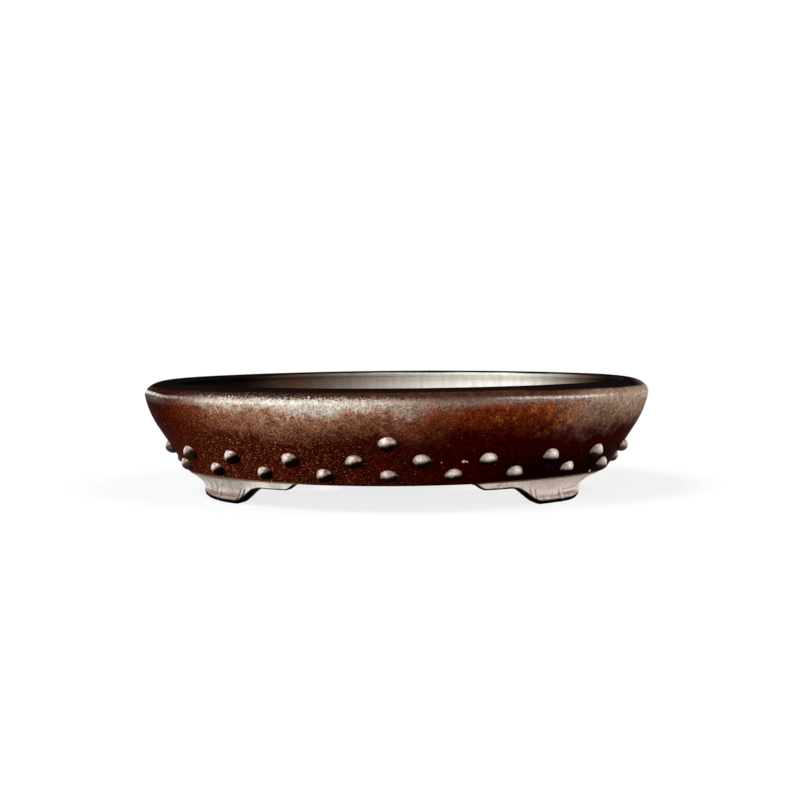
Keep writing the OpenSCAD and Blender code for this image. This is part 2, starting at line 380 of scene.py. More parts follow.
def noise_at(points, length, seed=0.0):
    """Smooth noise from -1 to 1 with features of one length."""
    shift = Vector((seed, 2 * seed, -seed))
    flat = np.reshape(points, (-1, 3)) / length
    return np.array([noise.noise(Vector(p) + shift) for p in flat]).reshape(np.shape(points)[:-1])


def strayed(points):
    """Points of the wall and rim moved towards the pot's middle by up to STRAY."""
    amount = STRAY * (0.5 + 0.5 * noise_at(points * np.array(STRAY_SQUEEZE), STRAY_LENGTH, STRAY_SEED))
    outward = points[..., :2] / np.linalg.norm(points[..., :2], axis=-1, keepdims=True)
    moved = points.copy()
    moved[..., :2] -= outward * amount[..., None]
    return moved


# Meshes

def grid_faces(rows, columns, close_rows, close_columns):
    """Quads of a grid whose vertices are numbered row by row."""
    faces = []
    for i in range(rows if close_rows else rows - 1):
        for j in range(columns if close_columns else columns - 1):
            a, b = i * columns, ((i + 1) % rows) * columns
            k = (j + 1) % columns
            faces.append((a + j, a + k, b + k, b + j))
    return faces


def make_piece(name, points, faces, materials, replaced, attributes, sharp=35):
    """Mesh object that rides on the pot and stands for CAD nodes."""
    mesh = bpy.data.meshes.new(name)
    mesh.from_pydata(np.reshape(points, (-1, 3)).tolist(), [], faces)
    mesh.validate()
    mesh.shade_smooth()
    mesh.set_sharp_from_angle(angle=math.radians(sharp))
    for label, values in attributes.items():
        layer = mesh.attributes.new(label, "FLOAT", "POINT")
        layer.data.foreach_set("value", np.ravel(values).astype(np.float32))
    for material in materials:
        mesh.materials.append(material)
    piece = bpy.data.objects.new(name, mesh)
    bpy.context.scene.collection.objects.link(piece)
    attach(piece, "root")
    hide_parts(*replaced)
    return piece


# Materials

class Clay:
    """A material under construction, with short calls for its nodes."""

    def __init__(self, name):
        self.material = bpy.data.materials.new(name)
        self.material.use_nodes = True
        self.tree = self.material.node_tree
        self.shader = self.tree.nodes["Principled BSDF"]
        self.place = self.add("ShaderNodeTexCoord").outputs["Object"]
        self.x, _, self.z = self.add("ShaderNodeSeparateXYZ", {0: self.place}).outputs

    def put(self, socket, value):
        if isinstance(value, bpy.types.NodeSocket):
            self.tree.links.new(value, socket)
        else:
            socket.default_value = value

    def add(self, kind, inputs=None, **settings):
        node = self.tree.nodes.new(kind)
        for key, value in settings.items():
            setattr(node, key, value)
        for key, value in (inputs or {}).items():
            self.put(node.inputs[key], value)
        return node

    def maths(self, operation, total, *others):
        for other in others:
            total = self.add("ShaderNodeMath", {0: total, 1: other}, operation=operation).outputs[0]
        return total

    def times(self, *values):
        return self.maths("MULTIPLY", *values)

    def plus(self, *values):
        return self.maths("ADD", *values)

    def most(self, *values):
        return self.maths("MAXIMUM", *values)

    def gap(self, place):
        """Distance from a place given in mm."""
        inputs = {0: self.place, 1: [value * MM for value in place]}
        return self.add("ShaderNodeVectorMath", inputs, operation="DISTANCE").outputs["Value"]

    def noise(self, feature, detail=2.0, rough=0.5, shift=(0, 0, 0), stretch=(1, 1, 1)):
        """Noise from 0 to 1 with features of one size, in metres."""
        moved = self.add("ShaderNodeMapping", {0: self.place, 1: shift, 3: stretch}).outputs[0]
        inputs = {"Vector": moved, "Scale": 1 / feature, "Detail": detail, "Roughness": rough}
        return self.add("ShaderNodeTexNoise", inputs).outputs[0]

    def cells(self, feature):
        """Distance to the nearest of scattered points, as a share of their spacing."""
        inputs = {"Vector": self.place, "Scale": 1 / feature}
        return self.add("ShaderNodeTexVoronoi", inputs).outputs["Distance"]

    def ramp(self, value, low, high, to_low=0.0, to_high=1.0):
        """A value carried softly from one range to another, and held beyond its ends."""
        inputs = {0: value, 1: low, 2: high, 3: to_low, 4: to_high}
        return self.add("ShaderNodeMapRange", inputs, interpolation_type="SMOOTHSTEP").outputs[0]

    def along(self, start, end, to_start=0.0, to_end=1.0):
        """A ramp between two places along the pot, in mm."""
        return self.ramp(self.x, start * MM, end * MM, to_start, to_end)

    def upward(self, start, end, to_start=0.0, to_end=1.0, height=None):
        """A ramp between two heights in mm, of the place itself or of a height that strays from it."""
        height = self.z if height is None else height
        return self.ramp(height, start * MM, end * MM, to_start, to_end)

    def swing(self, texture, low=0.0, high=1.0):
        """A noise stretched to run from low to high."""
        return self.ramp(texture, NOISE_LOW, NOISE_HIGH, low, high)

    def fade(self, share, first, last):
        """From first to last as a share goes from 0 to 1."""
        return self.ramp(share, 0, 1, first, last)

    def mix(self, factor, a, b, blend="MIX"):
        inputs = {0: factor, 6: a, 7: b}
        return self.add("ShaderNodeMix", inputs, data_type="RGBA", blend_type=blend).outputs[2]

    def tint(self, colour, by):
        return self.mix(1.0, colour, by, "MULTIPLY")

    def layer(self, label):
        """A value that the mesh carries."""
        return self.add("ShaderNodeAttribute", attribute_name=label).outputs["Fac"]

    def bump(self, height, distance, strength):
        inputs = {"Strength": strength, "Distance": distance, "Height": height}
        return self.add("ShaderNodeBump", inputs).outputs[0]

    def finish(self, colour, roughness, normal, **others):
        self.put(self.shader.inputs["Base Color"], colour)
        self.put(self.shader.inputs["Roughness"], roughness)
        self.put(self.shader.inputs["Normal"], normal)
        for label, value in others.items():
            self.put(self.shader.inputs[label.replace("_", " ")], value)
        return self.material


def painted_turn_highlight(clay, grain):
    """Painted highlight on the turn of the shoulder: bright at the left end, fainter on the right."""
    height = clay.plus(clay.z, clay.along(-154, -138, 0, 1.1 * MM))
    line = clay.upward(67.3, 68.5, height=height)
    tail = clay.times(clay.upward(62, 68.2, height=height), clay.along(-146, -158, 0.13, 0.02))
    turn = clay.times(clay.most(line, tail), clay.upward(69.9, 69.1, height=height))
    turn = clay.times(turn, clay.along(-112, -132), clay.along(-136, -156, 0.3, 1.0))
    falling = clay.plus(clay.z, clay.along(60, 126, -0.5 * MM, 0.5 * MM))
    glint = clay.times(clay.upward(66.8, 67.9, height=falling), clay.upward(69.2, 68.1, height=falling))
    glint = clay.times(glint, clay.along(50, 95, 0.0, 0.55), clay.along(142, 122))
    return clay.times(clay.most(turn, glint), clay.ramp(grain, 0.30, 0.60, 0.6, 1.0))


def specked(clay, colour, grain, smooth, left_end):
    """The wall's colour with mottling, grain, gold grit, pale chips and a painted highlight along the seam
    over the feet.
    """
    mottle = clay.noise(MOTTLE_SIZE, 4, 0.75, (2, 5, 3))
    colour = clay.tint(colour, clay.ramp(mottle, 0.32, 0.68, 0.62, 1.36))
    coarse, fine = clay.swing(grain, 0.25, 1.45), clay.swing(grain, 0.60, 1.25)
    colour = clay.tint(colour, clay.mix(smooth, coarse, fine))
    gold = clay.ramp(clay.noise(GRIT_SIZE, 1, 0.5, (1, 2, 3)), 0.64, 0.70)
    density = clay.times(clay.along(40, -80, 0.03, 0.85), clay.fade(left_end, 1.0, 0.15))
    density = clay.times(density, clay.upward(64, 69, 1.0, 0.3))
    colour = clay.mix(clay.times(gold, density), colour, GOLD)
    chips = clay.ramp(clay.cells(6 * MM), 0.035, 0.065, 0.6, 0.0)
    colour = clay.mix(clay.times(chips, clay.along(30, 80, 1.0, 0.4)), colour, SMALL_CHIP)
    # Painted highlight: a pale line along the wall's lower edge over the feet, where the foot's top edge
    # catches the light
    seam_highlight = clay.ramp(clay.z, BASE_Z + 1.2 * MM, BASE_Z + 0.5 * MM, 0.0, 0.8)
    over_feet = clay.plus(clay.along(-46, -60), clay.along(45, 70, 0.0, 0.5))
    colour = clay.mix(clay.times(seam_highlight, over_feet), colour, PAINTED_SEAM_HIGHLIGHT)
    for *place, radius in CHIPS:
        near = clay.ramp(clay.gap(place), radius * MM, CHIP_CORE * radius * MM)
        colour = clay.mix(near, colour, LARGE_CHIP)
    return colour


def body_clay():
    """Dark red stoneware with a granular skin: a pale painted sheen on the left shoulder, rusty, tan at the
    right end.
    """
    clay = Clay("body_clay")
    grain = clay.noise(GRAIN_SIZE, 2, 0.7)
    left, right = clay.along(60, -90), clay.along(85, 135)
    left_end, left_tip = clay.along(-95, -142), clay.along(-125, -152)
    sheen_end = clay.along(46, -45)

    # Height with a drifting, ragged error, so that the borders of the colours wander
    drift = clay.swing(clay.noise(40 * MM, 3, 0.6), -4 * MM, 4 * MM)
    ragged = clay.swing(clay.noise(8 * MM, 4, 0.7, (5, 4, 1)), -3 * MM, 3 * MM)
    level = clay.plus(clay.z, drift, ragged, clay.along(-60, -100, 0, -3 * MM))
    higher = clay.plus(level, clay.along(-80, -120, 0, -4.5 * MM))

    # Lower wall: red, browner on the left, nearly black in the low right corner
    colour = clay.mix(left, WALL_RED, WALL_BROWN)
    colour = clay.mix(clay.times(clay.along(40, 85), clay.upward(42, 22)), colour, LOW_CORNER)

    # Upper wall: rust, tan at the right end, a warm and then a pale painted sheen on the left, orange
    # patches
    colour = clay.mix(clay.upward(42, 62, 0.0, 0.9, height=level), colour, RUST)
    colour = clay.mix(clay.upward(60, 66, height=level), colour, UPPER_BROWN)
    tan = clay.times(right, clay.upward(40, 66, height=level))
    colour = clay.mix(tan, colour, TAN)
    # Painted sheen, warm, on the upper wall on the left
    warm_sheen = clay.times(clay.along(-142, -65), sheen_end, clay.upward(41, 62, height=level))
    colour = clay.mix(warm_sheen, colour, WARM_PAINTED_SHEEN)
    # Painted sheen, pale, on the left shoulder
    pale = clay.most(clay.upward(56, 66, height=higher), clay.upward(62.5, 66, 0.0, 0.8))
    pale = clay.times(clay.along(-136, -104), sheen_end, pale)
    colour = clay.mix(pale, colour, PALE_PAINTED_SHEEN)
    patches = clay.ramp(clay.noise(13 * MM, 5, 0.75, (3, 1, 2)), 0.50, 0.66)
    patches = clay.times(patches, clay.along(-30, 60), clay.along(125, 95))
    patches = clay.times(patches, clay.upward(42, 54), clay.upward(68, 62))
    colour = clay.mix(patches, colour, ORANGE_PATCH)

    # Dark left end and dark, speckled top of the shoulder, with a painted highlight line on its turn
    speckled = clay.plus(clay.z, clay.swing(grain, -1.6 * MM, 1.6 * MM))
    top = clay.times(clay.upward(66.8, 70.4, height=speckled), clay.fade(right, 1.0, 0.5))
    colour = clay.mix(clay.times(left_end, 0.8), colour, END_BROWN)
    colour = clay.mix(left_tip, colour, TIP_DARK)
    colour = clay.mix(top, colour, clay.mix(left, TOP_RIGHT, TOP_LEFT))
    turn = painted_turn_highlight(clay, grain)
    colour = clay.mix(turn, colour, PAINTED_TURN_HIGHLIGHT)
    colour = specked(clay, colour, grain, clay.most(pale, tan), left_end)
    # Painted shade, black, that the mesh carries: on the top of the lip
    painted_shade = clay.layer("painted_shade")
    colour = clay.mix(painted_shade, colour, BLACK)

    # Gloss on the shoulder, the pale painted sheen and the painted highlight line, none under the black
    # painted shade
    shoulder = clay.times(clay.upward(62, 66), clay.fade(left_end, 0.9, 0.0), clay.along(20, 120, 1.0, 0.3))
    polish = clay.most(shoulder, clay.times(pale, 0.8))
    polish = clay.times(polish, clay.upward(66.8, 70.4, 1.0, 0.05, height=speckled))
    polish = clay.times(clay.most(polish, turn), clay.ramp(grain, 0.35, 0.65, 0.6, 1.1))
    polish = clay.times(clay.plus(polish, 0.001), clay.fade(painted_shade, 1.0, 0.0))
    roughness = clay.swing(clay.noise(1.2 * MM, 2), 0.34, 0.52)
    grit = clay.bump(grain, 0.3 * MM, 0.5)
    return clay.finish(colour, roughness, grit, Specular_IOR_Level=polish)


def inside_clay():
    """Greyer clay of the inside, wiped upward by hand, with pale painted light in the middle and dark
    painted shade towards the ends.
    """
    clay = Clay("inside_clay")
    wiped = clay.noise(4 * MM, 3, 0.6, stretch=(1, 1, 0.15))
    # Painted light, pale, in the middle of the inside
    painted_light = clay.times(clay.along(-85, 75), clay.along(136, 80), clay.ramp(wiped, 0.25, 0.65, 0.8, 1.0))
    low = clay.upward(56, 42)
    # Painted shade, dark, high up towards the ends of the inside
    brown = clay.most(clay.times(clay.along(-115, -75), clay.along(144, 128)), low)
    colour = clay.mix(brown, INSIDE_PAINTED_SHADE, INSIDE_BROWN)
    clouds = clay.swing(clay.noise(22 * MM, 4, 0.6))
    colour = clay.mix(clay.times(low, clouds), colour, INSIDE_CLOUD)
    colour = clay.mix(painted_light, colour, INSIDE_PAINTED_LIGHT)
    pale = clay.times(brown, clay.ramp(clay.noise(1.0 * MM, 1), 0.6, 0.7, 0.0, 0.15))
    colour = clay.mix(pale, colour, INSIDE_GRIT)
    # Painted shade, black, on the inner side of the lip's top
    painted_shade = clay.layer("painted_shade")
    colour = clay.mix(painted_shade, colour, BLACK)
    grit = clay.bump(clay.noise(1.0 * MM, 2, 0.6), 0.2 * MM, 0.4)
    polish = clay.times(clay.fade(painted_light, 0.02, 0.35), clay.fade(painted_shade, 1.0, 0.0))
    return clay.finish(colour, clay.swing(wiped, 0.48, 0.62), grit, Specular_IOR_Level=polish)


def foot_clay():
    """Paler clay of the feet, pinker on the right, with a painted highlight on rubbed ridges and painted
    shade in the cut lines and on the lower edges.
    """
    clay = Clay("foot_clay")
    mottle = clay.noise(4 * MM, 5, 0.75)
    # Painted highlight on raised, rubbed ridges
    painted_highlight = clay.times(clay.layer("painted_highlight"), 0.4)
    tone = clay.plus(clay.layer("tone"), clay.swing(mottle, -0.36, 0.36), painted_highlight)
    colour = clay.mix(tone, FOOT_DARK, FOOT_PALE)
    colour = clay.mix(clay.along(-40, 40), colour, clay.tint(colour, FOOT_PINK))
    dark = clay.ramp(clay.noise(GRIT_SIZE, 2), 0.55, 0.66)
    dark = clay.times(dark, clay.ramp(tone, 0.5, 1.1, 0.6, 0.15))
    colour = clay.mix(dark, colour, FOOT_GRIT)
    # Painted shade in the cut lines
    colour = clay.mix(clay.layer("cut_shade"), colour, FOOT_CUT_SHADE)
    # Painted shade, black, on the lower edges, the underside and the back
    painted_shade = clay.layer("painted_shade")
    colour = clay.mix(painted_shade, colour, BLACK)
    grit = clay.bump(clay.noise(1.2 * MM, 3, 0.6), 0.3 * MM, 0.5)
    polish = clay.fade(painted_shade, 0.35, 0.0)
    return clay.finish(colour, clay.swing(mottle, 0.5, 0.7), grit, Specular_IOR_Level=polish)


def rivet_clay():
    """Grey-pink clay of the rivets, with a painted highlight on top and black painted shade underneath."""
    clay = Clay("rivet_clay")
    mottle = clay.noise(2.2 * MM, 4, 0.7)
    colour = clay.mix(clay.swing(mottle), RIVET_DARK, RIVET_PALE)
    # Painted highlight on the top of the rivet
    colour = clay.mix(clay.layer("painted_highlight"), colour, RIVET_PAINTED_HIGHLIGHT)
    dark = clay.ramp(clay.noise(GRIT_SIZE, 2), 0.54, 0.66, 0.0, 0.6)
    colour = clay.mix(dark, colour, RIVET_GRIT)
    # Painted shade, black, on the underside of the rivet
    painted_shade = clay.layer("painted_shade")
    colour = clay.mix(painted_shade, colour, RIVET_BLACK)
    grit = clay.bump(clay.noise(1.0 * MM, 2, 0.6), 0.12 * MM, 0.45)
    polish = clay.ramp(painted_shade, 0, 0.8, 1.0, 0.0)
    roughness = clay.swing(mottle, 0.20, 0.32)
    return clay.finish(colour, roughness, grit, Specular_IOR_Level=polish, Specular_Tint=RIVET_GLOSS)


# Wall and rim

def ring_piece(name, runs, outside_runs, materials, replaced, painted_shade=None):
    """Closed ring lofted from the runs of its section; faces of the first runs take the first material."""
    section = np.concatenate(runs)
    stations = oval_stations(np.arange(RING_COUNT) * girth(0) / RING_COUNT)
    points = strayed(oval_points(stations, section[:, 0], section[:, 1]))
    faces = grid_faces(len(section), RING_COUNT, True, True)
    layer = painted_shade(points, section[:, :1]) if painted_shade else np.zeros(points.shape[:2])
    piece = make_piece(name, points, faces, materials, replaced, {"painted_shade": layer})
    outside = sum(len(run) for run in runs[:outside_runs]) * RING_COUNT
    index = (np.arange(len(faces)) >= outside).astype(np.int32)
    piece.data.polygons.foreach_set("material_index", index)
    return piece


def wall_piece(body, inside):
    floor_end = [float(inner_offset(BASE_Z)), BASE_Z]
    edge_end = [BASE_O - UNDER_INSET * EDGE_ROUND, BASE_Z]
    runs = [
        np.array([[BASE_O - inset * EDGE_ROUND, BASE_Z + rise * EDGE_ROUND] for inset, rise in EDGE_POINTS]),
        face_run(face_offset, BASE_Z + EDGE_ROUND, JOINT_Z, FACE_STEPS),
        face_run(inner_offset, JOINT_Z, BASE_Z, INNER_STEPS),
        np.linspace(floor_end, edge_end, UNDER_STEPS + 1)[1:],
    ]
    return ring_piece("wall_slab", runs, 2, [body, inside], ["wall"])


def lip_shade(points, offsets):
    """Black painted shade on the top of the lip: lower down on the left and the right front, weaker at the
    ends.
    """
    x, y, z = np.moveaxis(points, -1, 0) / MM
    front = smoothstep(-y, 0, 25)
    wander = LIP_WANDER * noise_at(points, LIP_LENGTH, LIP_SEED)
    left = 0.8 * smoothstep(-x, 70, 115)
    right = smoothstep(x, 72, 92) + 0.6 * smoothstep(x, 115, 140)
    height = z - CREST_Z / MM + wander + left + right * front
    outer, inner = smoothstep(height, -2.7, -1.5), smoothstep(height, -1.9, -0.9)
    reach = np.abs(x) + np.where(x > 0, 6 * smoothstep(y, 0, 30), 0)
    ends = smoothstep(reach, 150, 164) * (1 - 0.4 * smoothstep(-y, 5, 25))
    return np.where(offsets > -RIM_REACH, outer, inner) * (1 - 0.7 * ends)


def rim_piece(body, inside):
    nose = (-RIM_REACH, CREST_Z - RIM_NOSE)
    hollow_reach = RIM_REACH - MOUTH_THICKNESS
    hollow_rise = CREST_Z - 2 * RIM_NOSE - UPRIGHT_Z
    runs = [
        face_run(face_offset, JOINT_Z, WIDEST_Z, JOINT_STEPS)[:-1],
        arc_run((-RIM_REACH, WIDEST_Z), RIM_REACH, RIM_RISE, 0, 90, SHOULDER_STEPS),
        arc_run(nose, RIM_NOSE, RIM_NOSE, 90, INSIDE_TURN, CREST_STEPS)[1:],
        arc_run(nose, RIM_NOSE, RIM_NOSE, INSIDE_TURN, 270, NOSE_STEPS)[1:],
        arc_run((-RIM_REACH, UPRIGHT_Z), hollow_reach, hollow_rise, 90, 0, HOLLOW_STEPS)[1:-1],
        face_run(inner_offset, UPRIGHT_Z, JOINT_Z, LIP_STEPS),
    ]
    return ring_piece("rim_lip", runs, 3, [body, inside], ["rim"], lip_shade)


# Rivets

def rivet_frame(node, share, height):
    """Middle of a rivet on the wall's face, and the directions along the wall, up it and out of it."""
    z = BASE_Z + height
    offset = float(face_offset(z))
    stations = oval_stations(share * girth(offset) + HAND_RIVETS.get(node, 0.0) * MM, offset)
    spot = oval_points(stations, [offset], [z])[0, 0]
    out = Vector((*stations[2][0], 0))
    lean = face_lean(z)
    axis = out * math.cos(lean) + Vector((0, 0, -math.sin(lean)))
    along = Vector((0, 0, 1)).cross(out)
    return spot, along, axis.cross(along), axis


def rivet_ring(number, tall, wide, flat, tilt, seed, pit, tail):
    """Points of one ring of a dented dome, or of the skirt after the last ring, in the rivet's own frame."""
    ball = (wide ** 2 + tall ** 2) / (2 * tall)
    share = min(number, RIVET_RINGS) / RIVET_RINGS
    polar = math.acos(1 - tall / ball) * share
    rise = -RIVET_SKIRT if number > RIVET_RINGS else ball * math.cos(polar) - ball + tall
    cos_tilt, sin_tilt = math.cos(tilt), math.sin(tilt)
    points = []
    for a in np.linspace(0, 2 * math.pi, RIVET_SEGMENTS, endpoint=False):
        squeeze = 1 + SQUEEZE * noise.noise(Vector((math.cos(a), math.sin(a), seed)) * SQUEEZE_RATE)
        drawn = math.exp(-(math.remainder(a, 2 * math.pi) / TAIL_WIDTH) ** 2)
        squeeze += tail * drawn * (number / RIVET_RINGS) ** 4
        reach = ball * math.sin(polar) * squeeze
        x, y = reach * math.cos(a - tilt), reach * flat * math.sin(a - tilt)
        point = Vector((x * cos_tilt - y * sin_tilt, x * sin_tilt + y * cos_tilt, rise))
        dent = noise.noise(point / DENT_LENGTH + Vector((seed, 0, 0)))
        point *= 1 - DENT * max(dent, 0)
        if pit:
            gap = math.hypot(point.x - pit[0] * wide, point.y - pit[1] * wide)
            point.z -= PIT_SIZE * math.exp(-(gap / PIT_SIZE) ** 2)
        points.append(point)
    return points


def rivet_layers(points, spot, along, wide, seed):
    """Black painted shade on the underside and a painted highlight on the top of a rivet, both turned
    towards the window that lights it.
    """
    x = spot[0] / MM
    drop = (points[:, 2].max() - points[:, 2]) / np.ptp(points[:, 2])
    aside = (points - spot) @ np.array(along) / wide
    window = np.clip((85 - x) / 60, -1, 1)
    ragged = noise_at(points, 2.5 * MM, seed)
    slant = 0.10 + 0.22 * smoothstep(-x, -10, 60)
    shade = 0.40 + 0.1 * smoothstep(x, 40, 90)
    painted_shade = smoothstep(drop + slant * aside * window + 0.06 * ragged, shade, shade + 0.26)
    painted_shade *= 1 - 0.25 * smoothstep(abs(x), 118, 140)
    wider = 0.36 + 0.16 * smoothstep(x, 0, 60)
    painted_highlight = np.exp(-((aside + 0.32 * window) / wider) ** 2 - ((drop - 0.30) / (0.6 * wider)) ** 2)
    return {"painted_shade": painted_shade, "painted_highlight": painted_highlight * (0.9 + 0.2 * ragged)}


def rivet_piece(node, share, height, clay, seed, size=1.0):
    """Hand-pressed pellet: a dented dome, with black painted shade underneath and a skirt sunk in the wall.
    """
    draw = random.Random(seed)
    tall = RIVET_HEIGHT * size * draw.uniform(*TALL_RANGE)
    wide = RIVET_RADIUS * size * draw.uniform(*WIDE_RANGE)
    flat = draw.uniform(*FLAT_RANGE)
    tilt = draw.uniform(*TILT_RANGE)
    pit, tail = RIVET_PITS.get(node), RIVET_TAILS.get(node, 0.0)
    dome = [Vector((0, 0, tall))]
    for number in range(1, RIVET_RINGS + 2):
        dome += rivet_ring(number, tall, wide, flat, tilt, seed, pit, tail)
    spot, along, up, axis = rivet_frame(node, share, height)
    points = np.array([spot + np.array(along * p.x + up * p.y + axis * p.z) for p in dome])
    faces = [(0, 1 + j, 1 + (j + 1) % RIVET_SEGMENTS) for j in range(RIVET_SEGMENTS)]
    sides = grid_faces(RIVET_RINGS + 1, RIVET_SEGMENTS, False, True)
    faces += [tuple(v + 1 for v in reversed(f)) for f in sides]
    faces.append(tuple(range(len(points) - RIVET_SEGMENTS, len(points)))[::-1])
    layers = rivet_layers(points, spot, along, wide, seed)
    return make_piece(node + "_pellet", points, faces, [clay], [node], layers, RIVET_SHARP)


# Feet

def foot_stations(place, x):
    """Stations of the wall's lower edge at distances x from a leg, measured straight along the leg."""
    middle = oval_stations(place, BASE_O)
    leg = oval_points(middle, [BASE_O], [0])[0, 0]
    leg_along = np.array([-middle[2][0, 1], middle[2][0, 0]])
    lengths = np.linspace(place - LONG_SPARE * LONG_WING, place + END_SPARE * END_WING, SPARE_STATIONS)
    plan = oval_points(oval_stations(lengths, BASE_O), [BASE_O], [0])[0, :, :2]
    return oval_stations(np.interp(x, (plan - leg[:2]) @ leg_along, lengths), BASE_O)


def foot_outline(x, half, heel, lift, inset=0.0):
    """Height of a foot's lower edge; x runs from the leg's middle, positive towards the pot's end."""
    half, heel = half - inset, heel - inset
    ogee = np.clip((-x - half + TOE_ROUND) / (OGEE_WIDTH + TOE_ROUND), 0, 1)
    tip = smoothstep(-x, LONG_WING - TIP_SLANT, LONG_WING)
    long_side = (BASE_Z - WING_HEIGHT) * (1 - np.cos(math.pi * ogee)) / 2 + (WING_HEIGHT - TIP_HEIGHT) * tip
    turn = np.clip((x - heel + HEEL_WIDTH) / HEEL_WIDTH, 0, 1)
    heel_side = HEEL_RISE * (1 - np.sqrt(1 - turn ** 2)) + lift * smoothstep(x, LIFT_START * half, heel)
    sweep = np.clip((END_WING - x) / (END_WING - heel), 0, 1)
    wing = END_UPRIGHT + (BASE_Z - END_TIP - END_UPRIGHT) * np.sqrt(1 - sweep ** 2)
    return np.where(x > heel, wing, long_side + heel_side)


def foot_relief(x, z, heel, marks):
    """How far a leg's face stands proud, in mm: lower lip, wedge, bead, cut corner and bevelled heel."""
    place, slant, bead, lip_height = marks
    cut = x - place + slant * (z - CUT_LEVEL)
    panel = smoothstep(cut, *PANEL_START) * (1 - smoothstep(x - heel, *PANEL_END))
    groove = GROOVE_DEPTH * ridge(z - GROOVE_LEVEL, GROOVE_WIDTH)
    lip = panel * lip_height * (1 - smoothstep(z, *LIP_TOP) - groove)
    low = np.clip((WEDGE_TOP - z) / WEDGE_FADE, 0, 1)
    wedge = WEDGE_HEIGHT * low * ridge(x - between(*WEDGE_PLACE, low), between(*WEDGE_WIDTH, low))
    bar = bead * ridge(z - BEAD_LEVEL - BEAD_SLOPE * x, BEAD_WIDTH) * plateau(x, *BEAD_ENDS)
    lines = sum(height * ridge(cut - across, width) for across, width, height in CUT_LINES)
    bevel = BEVEL_DEPTH * plateau(x - heel, *BEVEL_ENDS)
    return np.maximum(np.maximum(lip, wedge), bar) + plateau(z, *CUT_ENDS) * lines - bevel


def foot_face(z, edge, wing, relief, wander):
    """Offsets of a foot's face: cove, cut marks, hand wander and a rounded lower edge."""
    cove_radius = (COVE_DEPTH ** 2 + COVE_HEIGHT ** 2) / (2 * COVE_DEPTH)
    climb = np.clip((z - BASE_Z + COVE_HEIGHT) / cove_radius, 0, 1)
    hollow = COVE_DEPTH - cove_radius * (1 - np.sqrt(1 - climb ** 2))
    offset = BASE_O - hollow * between(*COVE_SHARE, wing) + relief * smoothstep(BASE_Z - z, 0, RELIEF_FADE)
    offset -= WANDER_DEPTH * (0.5 + 0.5 * wander)
    near_edge = 1 - smoothstep(edge, 0, between(*LOWER_WIDTH, wing))
    return offset - between(*LOWER_DEPTH, wing) * near_edge ** 2


def foot_layers(left, z, edge, wing, wander, relief, heel_part, inward):
    """Painted shade on the lower edge, underside, back and in the cuts, painted highlight on rubbed ridges,
    and tone of a foot: rows of its face, then underside and back.
    """
    shaded_edge, darkest_cut, tones, lip_tone = LEFT_LOOKS if left else RIGHT_LOOKS
    hidden = np.zeros((len(inward), z.shape[1]))
    # Painted shade along the lower edge of the face, and on the underside and the back
    start = between(*shaded_edge, wing) * MM + EDGE_SHADE_WANDER * wander
    face_shade = (1 - smoothstep(edge - start, 0, EDGE_SHADE_FADE)) * (1 - heel_part)
    under_shade = hidden + between(1, BACK_SHADE_SHARE, smoothstep(inward, 0.5, 1))
    back_shade = hidden + between(BACK_SHADE_SHARE, 0, smoothstep(inward, 0, 0.5))
    # Painted shade in the cuts, painted highlight on the ridges
    smooth = softened(relief, WIDE_ROWS)
    cut_shade = np.clip((smooth - relief) / CUT_SHADE_DEPTH, 0, darkest_cut) * (1 - heel_part)
    painted_highlight = np.clip((relief - smooth) / RIDGE_HIGHLIGHT_HEIGHT, 0, 1)
    lip = (1 - smoothstep(z, *LIP_TONE_TOP)) * (1 - wing)
    tone = between(*tones, wing) + lip_tone * lip
    return {
        "painted_shade": np.concatenate([face_shade, under_shade, back_shade]),
        "cut_shade": np.concatenate([cut_shade, hidden, hidden]),
        "painted_highlight": np.concatenate([painted_highlight, hidden, hidden]),
        "tone": np.concatenate([tone, hidden + HIDDEN_TONE, hidden + HIDDEN_TONE])}


